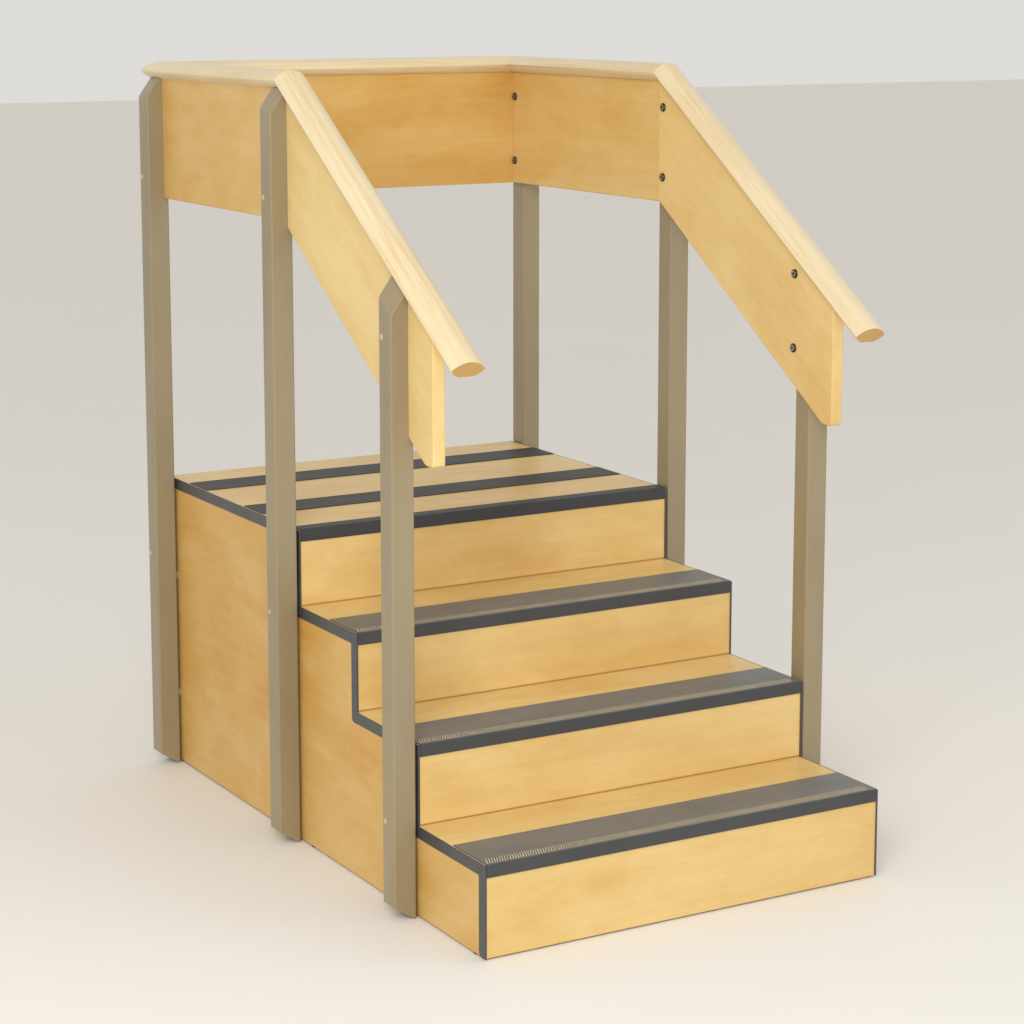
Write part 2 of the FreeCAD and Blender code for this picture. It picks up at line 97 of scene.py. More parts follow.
class StairSizes(bpy.types.PropertyGroup):
    """Sizes of the details, in metres. Places come from the frame."""

    board_round: metres("Board edges", "Radius on the edges of the body's boards", 0.0012)
    guard_round: metres("Guard edges", "Radius on the edges of the guard panels", 0.003)
    post_round: metres("Post edges", "Radius on the posts' upright edges", 0.0042)
    post_cut_round: metres("Post cuts", "Radius on the slanted cuts of the posts", 0.0022)
    post_flat: metres("Post top flat", "Level part of a post's top", 0.017)
    post_fall: metres("Post top fall", "How far a post's top falls outwards", 0.038)
    foot_flat: metres("Foot flat", "Part of a post's foot on the floor", 0.008)
    foot_rise: metres("Foot rise", "How far a post's foot rises outwards", 0.026)
    slope: FloatProperty(name="Rail slope", description="Slope of the rail and the guards",
                         default=math.radians(34), subtype="ANGLE", unit="ROTATION")
    rail_crown: metres("Rail crown", "Rail height above its widest line", 0.0185)
    rail_belly: metres("Rail belly", "Guard top below the rail's widest line", 0.014)
    rail_depth: metres("Rail depth", "Depth of the full lens below its widest line", 0.0183)
    rail_sink: metres("Rail sink", "How far the guards are let into the rail", 0.0018)
    rail_bend: metres("Rail bend", "Bend in the rail, ahead of the guards' seam", 0.010)
    rail_tip_round: metres("Rail tips", "Radius along the rail's widest line", 0.0012)
    vinyl_fold: metres("Vinyl fold", "Radius where the vinyl folds over a tread", 0.0024)
    trim_round: metres("Trim edges", "Radius on the edge bands and strips", 0.0008)
    corner_round: metres("Strip corner", "Radius low behind on a corner strip", 0.009)
    stitch_reach: metres("Stitch reach", "Width of the zig-zag seam", 0.021)
    stitch_pitch: metres("Stitch pitch", "Distance from one zig-zag to the next", 0.005)
    stitch_lean: metres("Stitch lean", "How far a zig-zag leans to the side", 0.0075)
    stitch_setback: metres("Stitch setback", "Middle of the seam behind the edge", 0.0155)
    stitch_margin: metres("Stitch margin", "Distance from the seam's ends to the vinyl's ends", 0.005)
    thread_radius: metres("Thread radius", "Radius of the sewing thread", 0.00085)
    nosing_gap: metres("Nosing gap", "Gap between a nosing's front fold and the corner strips", 0.0005)
    strip_rim: metres("Strip rim", "Width of the raised rim round a platform strip", 0.0015)
    strip_dip: metres("Strip dip", "How far a platform strip's middle lies below its rim", 0.0003)
    band_rim: metres("Band rim", "Width of the rim round an edge band's face", 0.0012)
    toe_round: metres("Guard toe", "Radius at the lowest corner of a sloped guard", 0.006)
    edge_break: metres("Broken edges", "Radius on the guards' remaining edges", 0.0004)
    notch_slack: metres("Notch slack", "How far the notch tools reach past the guards", 0.02)
    bolt_shank: metres("Bolt shank", "Radius of the bolts' shanks", 0.003)
    socket_round: metres("Socket rim", "Radius on the rim of the bolts' hex socket", 0.0003)
    plug_dome: metres("Plug dome", "How far a plug's middle stands out", 0.0003)
    socket_radius: metres("Hex socket", "Corner radius of the bolts' hex socket", 0.0035)
    curve_sides: IntProperty(name="Curve sides", description="Sides of the rail's round stretches",
                             default=112)


class StairColours(bpy.types.PropertyGroup):
    """Base colours of the finishes."""

    maple_pale: colour("Maple, pale", "Lightest tone of the laminated boards", (0.82, 0.62, 0.27))
    maple_deep: colour("Maple, deep", "Darkest tone of the laminated boards", (0.60, 0.315, 0.052))
    rail_pale: colour("Rail, pale", "Lightest tone of the solid maple rail", (0.79, 0.66, 0.42))
    rail_deep: colour("Rail, deep", "Darkest tone of the solid maple rail", (0.68, 0.48, 0.22))
    riser_foot_shade: colour("Corner shade line", "Painted shade where a riser meets a tread", (0.36, 0.16, 0.03))
    end_grain: colour("End grain", "Cut ends of the rail", (0.62, 0.37, 0.12))
    plain_wood: colour("Plain wood", "Unfinished cleats, pins and plugs", (0.74, 0.56, 0.34))
    paint: colour("Post paint", "Satin paint on the posts", (0.315, 0.250, 0.145))
    vinyl: colour("Vinyl", "Anti-slip vinyl", (0.052, 0.055, 0.057))
    # Painted sheen: the pale tone of the treads' upward faces
    vinyl_top_sheen: colour("Vinyl, top", "Top of the treads' vinyl, paler with painted sheen", (0.168, 0.163, 0.152))
    vinyl_platform: colour("Vinyl, platform", "Top of the platform's vinyl", (0.044, 0.045, 0.043))
    # Paler than the vinyl, so the upward faces of the bands and strips carry painted light
    band: colour("Edge band", "Tops of the edge bands and corner strips", (0.070, 0.072, 0.075))
    thread: colour("Thread", "Upper sewing thread on the treads", (0.86, 0.72, 0.47))
    seam_shade_thread: colour("Seam shade thread", "Returning legs of the seam, dark as painted shade", (0.085, 0.062, 0.040))
    bronze: colour("Bolt bronze", "Dark bronze on the bolts", (0.095, 0.070, 0.050))
    zinc: colour("Zinc", "Plated steel of screws and sleeves", (0.56, 0.56, 0.54))
    nylon: colour("Nylon", "Spacers and floor glides", (0.080, 0.075, 0.070))
    floor: colour("Floor", "Studio floor", (0.86, 0.83, 0.775))


class StageSettings(bpy.types.PropertyGroup):
    """Camera and light of the studio."""

    camera_place: spot("Camera place", "Where the camera stands", (-2.4117, -4.2178, 1.607))
    camera_turn: FloatVectorProperty(name="Camera turn", description="How the camera is turned",
                                     default=(math.radians(80.8), 0.0, math.radians(-30.1)),
                                     subtype="EULER")
    lens: FloatProperty(name="Lens", description="Focal length in millimetres", default=90.1)
    shift: FloatProperty(name="Shift", description="Vertical shift of the view", default=-0.109)
    key_power: FloatProperty(name="Key light", description="Power of the main soft light", default=116.0,
                             unit="POWER")
    fill_power: FloatProperty(name="Fill light", description="Power of the second soft light", default=28.0,
                              unit="POWER")
    key_place: spot("Key place", "Middle of the main soft light", (-2.7, -3.5, 2.7))
    key_size: metres("Key size", "Side of the main soft light", 2.0)
    fill_place: spot("Fill place", "Middle of the second soft light", (3.6, -3.0, 2.8))
    fill_size: metres("Fill size", "Side of the second soft light", 3.0)
    floor_size: metres("Floor size", "Side of the studio floor", 60.0)
    floor_gap: metres("Floor gap", "How far the floor lies below the stairs", 0.0002)
    far_clip: metres("Far clip", "Distance beyond which the camera sees nothing", 200.0)
    sky_colour: colour("Sky colour", "Colour of the even light from all round", (1.0, 0.985, 0.955))
    sky: FloatProperty(name="Sky", description="Strength of the even light from all round", default=0.73)


def sizes():
    return bpy.context.scene.stair_sizes


def colours():
    return bpy.context.scene.stair_colours


# ---- Modelling helpers ----
def activate(piece):
    """Selects one object alone and makes it the active one."""
    bpy.ops.object.select_all(action="DESELECT")
    piece.select_set(True)
    bpy.context.view_layer.objects.active = piece


@contextmanager
def editing(piece):
    """Edit mode on one object, with nothing selected at first."""
    activate(piece)
    bpy.ops.object.mode_set(mode="EDIT")
    bpy.ops.mesh.select_all(action="DESELECT")
    yield
    bpy.ops.object.mode_set(mode="OBJECT")


def settle(name):
    """Names the active object and puts its place, turn and scale into its mesh."""
    piece = bpy.context.object
    piece.name = name
    piece.data.name = name
    bpy.ops.object.transform_apply(location=True, rotation=True, scale=True)
    return piece


def add_block(name, low, high):
    bpy.ops.object.select_all(action="DESELECT")
    bpy.ops.mesh.primitive_cube_add(size=1, location=(low + high) / 2, scale=high - low)
    return settle(name)


def add_rod(name, radius, depth, centre, turn=(0, 0, 0), sides=32):
    bpy.ops.object.select_all(action="DESELECT")
    bpy.ops.mesh.primitive_cylinder_add(vertices=sides, radius=radius, depth=depth, location=centre,
                                        rotation=turn)
    return settle(name)


def pick(piece, kind, test):
    """In edit mode, selects just the faces or edges that pass a test."""
    bpy.ops.mesh.select_mode(type=kind)
    bpy.ops.mesh.select_all(action="DESELECT")
    mesh = bmesh.from_edit_mesh(piece.data)
    for element in mesh.faces if kind == "FACE" else mesh.edges:
        if test(element):
            element.select_set(True)
    mesh.select_flush_mode()
    bmesh.update_edit_mesh(piece.data)


def facing(way, beyond=0.95):
    """Test for faces that point a given way."""
    return lambda face: face.normal.dot(way) > beyond


def edge_middle(edge):
    return (edge.verts[0].co + edge.verts[1].co) / 2


def edge_way(edge):
    return (edge.verts[1].co - edge.verts[0].co).normalized()


def towards(way, normal):
    """A normal, turned round if it points away from a given way."""
    return normal if normal.dot(way) > 0 else -normal


def face_middle(face):
    return face.calc_center_median()


def near(first, second, reach=NEAR):
    return abs(first - second) < reach


def cross_cut(place, normal):
    """In edit mode, cuts new edges across the whole mesh along a plane."""
    bpy.ops.mesh.select_all(action="SELECT")
    bpy.ops.mesh.bisect(plane_co=place, plane_no=normal)


def merge_flat_faces():
    """In edit mode, joins faces that lie in one plane."""
    bpy.ops.mesh.select_all(action="SELECT")
    bpy.ops.mesh.dissolve_limited(angle_limit=math.radians(1))


def drop_slivers(piece, threshold=NEAR):
    """Removes faces without area and edges shorter than a threshold."""
    with editing(piece):
        bpy.ops.mesh.select_all(action="SELECT")
        bpy.ops.mesh.dissolve_degenerate(threshold=threshold)


def slice_off(piece, point, normal):
    """Cuts away what lies beyond a plane, on the side its normal points to, and closes the cut."""
    with editing(piece):
        bpy.ops.mesh.select_all(action="SELECT")
        bpy.ops.mesh.bisect(plane_co=point, plane_no=normal, use_fill=True, clear_outer=True)


def push_out(way):
    """Extrudes the selected faces by a vector."""
    bpy.ops.mesh.extrude_region_move(TRANSFORM_OT_translate={"value": way})


def modify(piece, kind, **settings):
    """Adds a modifier and applies it."""
    activate(piece)
    bpy.ops.object.modifier_add(type=kind)
    modifier = piece.modifiers[-1]
    for key, value in settings.items():
        setattr(modifier, key, value)
    bpy.ops.object.modifier_apply(modifier=modifier.name)


def round_edges(piece, radius, segments=3, over=25):
    modify(piece, "BEVEL", width=radius, segments=segments, limit_method="ANGLE",
           angle_limit=math.radians(over), miter_outer="MITER_ARC")


def round_picked(piece, test, radius, segments=4, clamp=False):
    """Rounds just the edges that pass a test."""
    with editing(piece):
        pick(piece, "EDGE", test)
        bpy.ops.mesh.bevel(offset=radius, segments=segments, affect="EDGES", clamp_overlap=clamp)


def carve(piece, tool, operation="DIFFERENCE"):
    """Boolean with another object, which is then removed."""
    modify(piece, "BOOLEAN", object=tool, operation=operation, solver="EXACT")
    bpy.data.objects.remove(tool)


def give_faces(piece, finish, test):
    """Adds a finish and gives it to the faces that pass a test."""
    piece.data.materials.append(finish)
    piece.active_material_index = len(piece.data.materials) - 1
    with editing(piece):
        pick(piece, "FACE", test)
        bpy.ops.object.material_slot_assign()


def copy_of(piece, move=(0, 0, 0), turn=0.0):
    """Copy with its own mesh, turned about Z and moved."""
    activate(piece)
    bpy.ops.object.duplicate(linked=False)
    twin = bpy.context.object
    twin.rotation_euler = (0, 0, turn)
    twin.location = move
    return settle(piece.name)


def join(parts, name):
    bpy.ops.object.select_all(action="DESELECT")
    for part in parts:
        part.select_set(True)
    bpy.context.view_layer.objects.active = parts[0]
    bpy.ops.object.join()
    return settle(name)


def spread(piece, places, name):
    """Joined copies of a right-hand piece, one at the height and depth of each box."""
    copies = []
    for low, high in places:
        middle = (low + high) / 2
        copies.append(copy_of(piece, (0, middle.y, middle.z), 0.0 if middle.x > 0 else math.pi))
    bpy.data.objects.remove(piece)
    return join(copies, name)


def complete(piece, finish, slot, *nodes, smooth=40):
    """Shades a piece, gives it its finish, and hides the CAD nodes it stands for."""
    drop_slivers(piece, 0.1 * NEAR)
    bpy.ops.object.shade_smooth_by_angle(angle=math.radians(smooth))
    modify(piece, "WEIGHTED_NORMAL", keep_sharp=True)
    if finish is not None:
        piece.data.materials.clear()
        piece.data.materials.append(finish)
    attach(piece, "root")
    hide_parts(*nodes)
    return piece


def solids_of(node):
    """Boxes of the separate solids in a CAD node, from a merged copy of its mesh."""
    mesh = bmesh.new()
    mesh.from_mesh(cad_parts[node].data)
    bmesh.ops.remove_doubles(mesh, verts=mesh.verts, dist=1e-5)
    waiting = set(mesh.verts)
    boxes = []
    while waiting:
        group = [waiting.pop()]
        for vert in group:
            for edge in vert.link_edges:
                other = edge.other_vert(vert)
                if other in waiting:
                    waiting.remove(other)
                    group.append(other)
        places = [vert.co.copy() for vert in group]
        low = Vector(min(p[i] for p in places) for i in range(3))
        high = Vector(max(p[i] for p in places) for i in range(3))
        boxes.append((low, high))
    mesh.free()
    return sorted(boxes, key=lambda box: tuple(box[0]))


# ---- Shader helpers ----
class Wire:
    """A shader socket that Python's operators act on."""

    def __init__(self, finish, socket):
        self.finish = finish
        self.socket = socket

    def math(self, operation, *values):
        inputs = dict(enumerate(values))
        return self.finish.node("ShaderNodeMath", {"operation": operation}, inputs)

    def __add__(self, other):
        return self.math("ADD", self, other)

    def __sub__(self, other):
        return self.math("SUBTRACT", self, other)

    def __rsub__(self, other):
        return self.math("SUBTRACT", other, self)

    def __mul__(self, other):
        return self.math("MULTIPLY", self, other)

    __radd__ = __add__
    __rmul__ = __mul__


class Finish:
    """A node material. One method adds any node, and the rest are shorthands for it."""

    def __init__(self, name, **constants):
        self.material = bpy.data.materials.new(name)
        self.material.use_nodes = True
        self.tree = self.material.node_tree
        self.surface = self.tree.nodes["Principled BSDF"]
        for key, value in constants.items():
            socket = key.replace("_", " ").title().replace("Ior", "IOR")
            self.surface.inputs[socket].default_value = value

    def feed(self, socket, value):
        if isinstance(value, Wire):
            self.tree.links.new(value.socket, socket)
        else:
            socket.default_value = value

    def node(self, kind, settings, inputs, output=0):
        made = self.tree.nodes.new(kind)
        for key, value in settings.items():
            setattr(made, key, value)
        for key, value in inputs.items():
            self.feed(made.inputs[key], value)
        return Wire(self, made.outputs[output])

    def place(self):
        return self.node("ShaderNodeTexCoord", {}, {}, "Object")

    def along(self, turn=(0, 0, 0), move=(0, 0, 0)):
        """Object coordinates, turned so that the grain lies along X."""
        place = self.place()
        return self.node("ShaderNodeMapping", {}, {"Vector": place, "Rotation": turn, "Location": move})

    def stretch(self, place, scale):
        return self.node("ShaderNodeVectorMath", {"operation": "MULTIPLY"}, {0: place, 1: scale})

    def noise(self, place, scale, detail=3.0, rough=0.55, twist=0.0):
        """Noise at one scale, or at a scale for each axis."""
        if isinstance(scale, tuple):
            place, scale = self.stretch(place, scale), 1.0
        inputs = {"Vector": place, "Scale": scale, "Detail": detail, "Roughness": rough, "Distortion": twist}
        return self.node("ShaderNodeTexNoise", {}, inputs)

    def span(self, value, low, high):
        """A value's range, stretched to 0 to 1 and clamped, with soft ends."""
        settings = {"interpolation_type": "SMOOTHSTEP"}
        return self.node("ShaderNodeMapRange", settings, {"Value": value, "From Min": low, "From Max": high})

    def mix(self, share, first, second):
        inputs = {0: share, 6: first, 7: second}
        return self.node("ShaderNodeMix", {"data_type": "RGBA"}, inputs, 2)

    def shade(self, tone, share):
        """A colour darkened by a share."""
        return self.mix(share, tone, (0.0, 0.0, 0.0, 1.0))

    def bump(self, height, strength, distance):
        inputs = {"Height": height, "Strength": strength, "Distance": distance}
        self.feed(self.surface.inputs["Normal"], self.node("ShaderNodeBump", {}, inputs))

    def paint(self, tone, roughness):
        self.feed(self.surface.inputs["Base Color"], tone)
        self.feed(self.surface.inputs["Roughness"], roughness)
        return self.material


def solid(tone):
    return (*tone, 1.0)


GRAIN_X = (0.0, 0.0, 0.0)
GRAIN_Y = (0.0, 0.0, math.radians(-90))


def grain_slope():
    return (-sizes().slope, 0.0, math.radians(-90))


MIDDLE_TONE = 0.25  # share of the deep tone on a plain board
CLOUD_SHARE, BLOTCH_SHARE, STREAK_SHARE = 0.34, 0.15, 0.09  # how much each figure adds to it
JOINT_START, JOINT_END = 0.0018, 0.0036  # heights over which the painted shade line at a riser's foot fades, in metres
BOARD_LIGHT_SHIFT, PANEL_SHADE_SHIFT, BACK_SHADE_SHIFT = -0.08, 0.29, 0.30  # painted light and shade: the body boards paler, the side panels and back guard deeper


def maple(name, grain, move, tone_shift=0.0, joint=None):
    """Lacquered maple veneer: a cloudy figure, faint streaks, fine fibres and short flecks. Move gives each
    board its own stretch of the figure, a higher tone shift gives a deeper board (painted shade on whole
    boards that got less light), and joint is the height of a dark line of painted shade in a corner."""
    tones = colours()
    finish = Finish(name, coat_weight=0.16, coat_roughness=0.25)
    place = finish.along(grain, (move, move * 0.7, move * 1.3))
    cloud = finish.noise(place, (2.2, 5.0, 5.0), 4.0, 0.55, 0.8)
    blotch = finish.noise(place, (9.0, 17.0, 17.0), 4.0, 0.62, 0.5)
    streak = finish.noise(place, (3.5, 60.0, 60.0), 4.0, 0.6, 0.4)
    fibre = finish.noise(place, (24.0, 620.0, 620.0), 2.0, 0.5)
    fleck = finish.noise(place, (70.0, 900.0, 900.0), 1.0, 0.5)
    depth = finish.span(cloud, 0.28, 0.74) * CLOUD_SHARE + finish.span(blotch, 0.32, 0.76) * BLOTCH_SHARE
    depth = depth + (finish.span(streak, 0.34, 0.70) - 0.5) * STREAK_SHARE + (MIDDLE_TONE + tone_shift)
    tone = finish.mix(depth, solid(tones.maple_pale), solid(tones.maple_deep))
    tone = finish.shade(tone, finish.span(fibre, 0.42, 0.80) * 0.07)
    tone = finish.shade(tone, finish.span(fleck, 0.66, 0.78) * 0.10)
    # A dark line of painted shade at the foot of a riser, where it meets the tread below
    if joint is not None:
        height = finish.node("ShaderNodeSeparateXYZ", {}, {0: finish.place()}, "Z")
        corner = 1.0 - finish.span(height - joint, JOINT_START, JOINT_END)
        tone = finish.mix(corner * 0.8, tone, solid(tones.riser_foot_shade))
    finish.bump(fibre + streak * 0.5, 0.04, 0.0004)
    return finish.paint(tone, 0.38 + blotch * 0.08 + fibre * 0.04)


def rail_wood(name, grain, move):
    """Solid cream maple: long tan growth bands over a pale ground, with fine fibres."""
    tones = colours()
    finish = Finish(name, coat_weight=0.25, coat_roughness=0.20)
    place = finish.along(grain, (move, move * 0.6, move * 1.1))
    band = finish.noise(place, (2.2, 62.0, 62.0), 3.0, 0.55, 1.2)
    cloud = finish.noise(place, (3.0, 14.0, 14.0), 2.0, 0.5, 0.5)
    fibre = finish.noise(place, (18.0, 800.0, 800.0), 2.0, 0.5)
    depth = finish.span(band, 0.44, 0.74) * 0.55 + finish.span(cloud, 0.38, 0.72) * 0.35
    tone = finish.mix(depth, solid(tones.rail_pale), solid(tones.rail_deep))
    tone = finish.shade(tone, finish.span(fibre, 0.45, 0.80) * 0.09)
    finish.bump(fibre + band * 0.5, 0.05, 0.0004)
    return finish.paint(tone, 0.36 + band * 0.10)


def end_grain(name):
    """Cut end of the rail: curved growth rings crossed by fine rays."""
    finish = Finish(name, coat_weight=0.15, coat_roughness=0.3)
    place = finish.along()
    settings = {"wave_type": "RINGS", "rings_direction": "Y"}
    inputs = {"Vector": place, "Scale": 70.0, "Distortion": 3.0, "Detail": 2.0, "Detail Scale": 1.4}
    rings = finish.node("ShaderNodeTexWave", settings, inputs, "Fac")
    pores = finish.noise(place, 900.0, 2.0, 0.6)
    base = solid(colours().end_grain)
    tone = finish.shade(base, rings * 0.16 + finish.span(pores, 0.45, 0.75) * 0.14)
    finish.bump(pores, 0.08, 0.0003)
    return finish.paint(tone, 0.50 + pores * 0.1)


def plain_wood(name):
    """Unfinished hardwood of cleats, pins and plugs."""
    finish = Finish(name)
    place = finish.along()
    fibre = finish.noise(place, (60.0, 420.0, 420.0), 3.0, 0.6)
    cloud = finish.noise(place, 30.0, 2.0)
    tone = finish.shade(solid(colours().plain_wood), fibre * 0.22 + cloud * 0.12)
    finish.bump(fibre, 0.12, 0.0004)
    return finish.paint(tone, 0.62 + fibre * 0.12)


def post_paint(name):
    """Satin taupe paint: a soft mottle, fine orange peel and a few pale rubbed specks."""
    finish = Finish(name, coat_weight=0.30, coat_roughness=0.18)
    place = finish.along()
    mottle = finish.noise(place, (9.0, 9.0, 2.5), 3.0, 0.5)
    peel = finish.noise(place, 950.0, 2.0, 0.5)
    rub = finish.noise(place, (120.0, 120.0, 60.0), 3.0, 0.6)
    tone = finish.shade(solid(colours().paint), finish.span(mottle, 0.35, 0.72) * 0.14)
    worn = finish.span(rub, 0.745, 0.80)
    tone = finish.mix(worn * 0.45, tone, (0.56, 0.49, 0.37, 1.0))
    finish.bump(peel, 0.07, 0.0003)
    return finish.paint(tone, 0.36 + mottle * 0.10 + worn * 0.15)


def vinyl(name, top, grain_depth, wear_depth=0.12, shine=0.12, specular=0.5):
    """Charcoal vinyl with a pebbled grain and fine dark specks. Faces that look up take the top tone: on the
    treads it is paler, a painted sheen.
    """
    finish = Finish(name, coat_weight=shine, coat_roughness=0.3, specular_ior_level=specular)
    place = finish.along()
    cells = finish.node("ShaderNodeTexVoronoi", {"feature": "SMOOTH_F1"},
                        {"Vector": place, "Scale": 700.0, "Smoothness": 0.6}, "Distance")
    wear = finish.noise(place, (7.0, 16.0, 16.0), 4.0, 0.6, 0.4)
    speck = finish.noise(place, 420.0, 2.0, 0.6)
    normal = finish.node("ShaderNodeNewGeometry", {}, {}, "Normal")
    # Upward faces get the top tone; where it is paler than the vinyl, on the treads and edge bands, it is
    # painted light
    up = finish.span(finish.node("ShaderNodeSeparateXYZ", {}, {0: normal}, "Z"), 0.55, 1.0)
    tone = finish.mix(up, solid(colours().vinyl), solid(top))
    tone = finish.shade(tone, finish.span(speck, 0.42, 0.75) * 0.20)
    tone = finish.shade(tone, finish.span(wear, 0.35, 0.72) * wear_depth)
    finish.bump(cells * 0.8 + speck * 0.4, grain_depth, 0.0004)
    return finish.paint(tone, 0.46 + wear * 0.10)


def thread(name, base):
    """Waxed thread with a fine twist."""
    finish = Finish(name)
    place = finish.along()
    inputs = {"Vector": place, "Scale": 1400.0, "Distortion": 1.0, "Detail": 1.0}
    twist = finish.node("ShaderNodeTexWave", {"wave_type": "BANDS", "bands_direction": "DIAGONAL"}, inputs,
                        "Fac")
    soil = finish.noise(place, 60.0, 2.0)
    tone = finish.shade(solid(base), twist * 0.20 + soil * 0.18)
    finish.bump(twist, 0.3, 0.0002)
    return finish.paint(tone, 0.66 + twist * 0.1)


def metal(name, base, low, high):
    """Plated metal with faint handling marks."""
    finish = Finish(name, metallic=1.0)
    place = finish.along()
    marks = finish.noise(place, 380.0, 4.0, 0.6, 0.3)
    cloud = finish.noise(place, 60.0, 2.0)
    tone = finish.shade(solid(base), finish.span(cloud, 0.35, 0.7) * 0.25)
    finish.bump(marks, 0.06, 0.0002)
    return finish.paint(tone, low + marks * (high - low))


def nylon(name):
    """Dark moulded nylon with a fine spark texture."""
    finish = Finish(name)
    place = finish.along()
    spark = finish.noise(place, 1300.0, 2.0, 0.6)
    cloud = finish.noise(place, 25.0, 2.0)
    tone = finish.shade(solid(colours().nylon), cloud * 0.25)
    finish.bump(spark, 0.15, 0.0003)
    return finish.paint(tone, 0.50 + spark * 0.12)


def floor_finish(name):
    """Pale matt floor."""
    finish = Finish(name)
    cloud = finish.noise(finish.along(), 0.9, 2.0)
    tone = finish.shade(solid(colours().floor), cloud * 0.03)
    return finish.paint(tone, 0.62 + cloud * 0.05)


# ---- Places shared by several pieces ----
def seam():
    """Lower corner of the seam between the level and sloped guards, on the middle plane."""
    low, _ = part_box("guard_left_level")
    return Vector((0, low.y, low.z))


def rail_line():
    """Height of the rail's widest line, and the bend's place along the stairs."""
    _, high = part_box("guard_left_level")
    return high.z + sizes().rail_belly, seam().y - sizes().rail_bend


def rail_centre_x():
    low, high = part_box("rail_right_slope")
    return (low.x + high.x) / 2


def slope_way():
    """Unit vector up the slope, and the unit vector square to it, upwards."""
    angle = sizes().slope
    return Vector((0, math.cos(angle), math.sin(angle))), Vector((0, -math.sin(angle), math.cos(angle)))


def guard_blank(name, word, part, slack=0.0):
    """A guard panel with square edges. With slack it is the tool that cuts the posts' notches: it then
    reaches further inwards and upwards, and a level one a little past the seam."""
    low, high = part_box("guard_%s_%s" % (word, part))
    if SIDES[word] > 0:
        low.x -= slack
    else:
        high.x += slack
    high.z += slack
    if part == "level":
        low.y -= slack / 10
    blank = add_block(name, low, high)
    if part == "slope":
        way, above = slope_way()
        slice_off(blank, seam(), -above)
        centre_z, bend_y = rail_line()
        slice_off(blank, Vector((0, bend_y, centre_z)) + above * (slack - sizes().rail_belly), above)
    return blank


# ---- Stair body ----
class STAIRS_OT_boards(bpy.types.Operator):
    """Treads, platform, risers and back panel, each with its own figure"""

    bl_idname = "stairs.boards"
    bl_label = "Boards"

    def execute(self, context):
        names = ["tread_%d" % step for step in TREADS] + ["platform_top"]
        names += ["riser_%d" % step for step in STEPS] + ["back_panel"]
        for number, node in enumerate(names):
            board = add_block(node + "_board", *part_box(node))
            round_edges(board, sizes().board_round)
            # Risers that stand on a tread get a painted shade line at their foot
            stands_on_tread = node.startswith("riser") and node != "riser_1"
            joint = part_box("tread_%d" % (int(node[-1]) - 1))[1].z if stands_on_tread else None
            finish = maple("Maple " + node, GRAIN_X, 3.1 + 1.7 * number, BOARD_LIGHT_SHIFT, joint)
            complete(board, finish, "maple_laminate", node)
        return {"FINISHED"}


class STAIRS_OT_side_panels(bpy.types.Operator):
    """Stepped panels at both ends of the treads"""

    bl_idname = "stairs.side_panels"
    bl_label = "Side panels"

    def execute(self, context):
        for word, side in SIDES.items():
            node = "side_panel_" + word
            low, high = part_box(node)
            tops = [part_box("tread_%d" % step)[0].z for step in TREADS] + [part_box("platform_top")[0].z]
            panel = add_block(node + "_board", low, Vector((high.x, high.y, tops[0])))
            with editing(panel):
                for step in STEPS[1:]:
                    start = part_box("riser_%d" % step)[1].y
                    cross_cut((0, start, 0), AHEAD)
                    pick(panel, "FACE", lambda face: face.normal.z > SQUARE_ON
                         and face_middle(face).y > start)
                    push_out(UP * (tops[step - 1] - tops[step - 2]))
                merge_flat_faces()
            round_edges(panel, sizes().board_round)
            finish = maple("Maple " + node, GRAIN_Y, 21.0 + 4.3 * side, PANEL_SHADE_SHIFT)
            complete(panel, finish, "maple_laminate", node)
        return {"FINISHED"}


# ---- Vinyl and edge trim ----
class STAIRS_OT_nosings(bpy.types.Operator):
    """Vinyl folded over the front edges of the treads and the platform"""

    bl_idname = "stairs.nosings"
    bl_label = "Nosings"

    def execute(self, context):
        # The treads' top tone paints a sheen on their upward faces
        tread_finish = vinyl("Tread vinyl", colours().vinyl_top_sheen, 0.22)
        platform_finish = vinyl("Platform edge vinyl", colours().vinyl_platform, 0.22, shine=0.05,
                                specular=0.25)
        boards = {"tread_nosing_%d" % step: "tread_%d" % step for step in TREADS}
        boards["platform_nosing"] = "platform_top"
        for node, board in boards.items():
            cover = self.fold_over(node, *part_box(board))
            finish = platform_finish if board == "platform_top" else tread_finish
            complete(cover, finish, "vinyl_charcoal", node)
        return {"FINISHED"}

    def fold_over(self, node, board_low, board_high):
        """Sheet on a board's top, with a fold pushed down in front of the board. The tabs in front of the
        corner strips are taken away, and the open ends are filled."""
        low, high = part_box(node)
        strip_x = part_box("corner_trim_right_1")[0].x
        fold_x = strip_x - sizes().nosing_gap
        cover = add_block(node + "_vinyl", Vector((low.x, low.y, board_high.z)), high)
        with editing(cover):
            cross_cut((0, board_low.y, 0), AHEAD)
            for end in (-fold_x, fold_x):
                cross_cut((end, 0, 0), ACROSS)
            pick(cover, "FACE", lambda face: face.normal.z < -SQUARE_ON and face_middle(face).y < board_low.y
                 and abs(face_middle(face).x) < fold_x)
            push_out(DOWN * (board_high.z - low.z))
            pick(cover, "FACE", lambda face: face_middle(face).y < board_low.y
                 and abs(face_middle(face).x) > fold_x - NEAR)
            bpy.ops.mesh.delete(type="FACE")
            pick(cover, "EDGE", lambda edge: edge.is_boundary)
            bpy.ops.mesh.edge_face_add()
            bpy.ops.mesh.select_all(action="SELECT")
            bpy.ops.mesh.normals_make_consistent(inside=False)
            merge_flat_faces()
        round_picked(cover, lambda edge: abs(edge_way(edge).x) > SQUARE_ON
                     and near(edge_middle(edge).y, low.y) and near(edge_middle(edge).z, high.z),
                     sizes().vinyl_fold, 5)
        round_edges(cover, sizes().trim_round, 2, 40)
        drop_slivers(cover)
        return cover


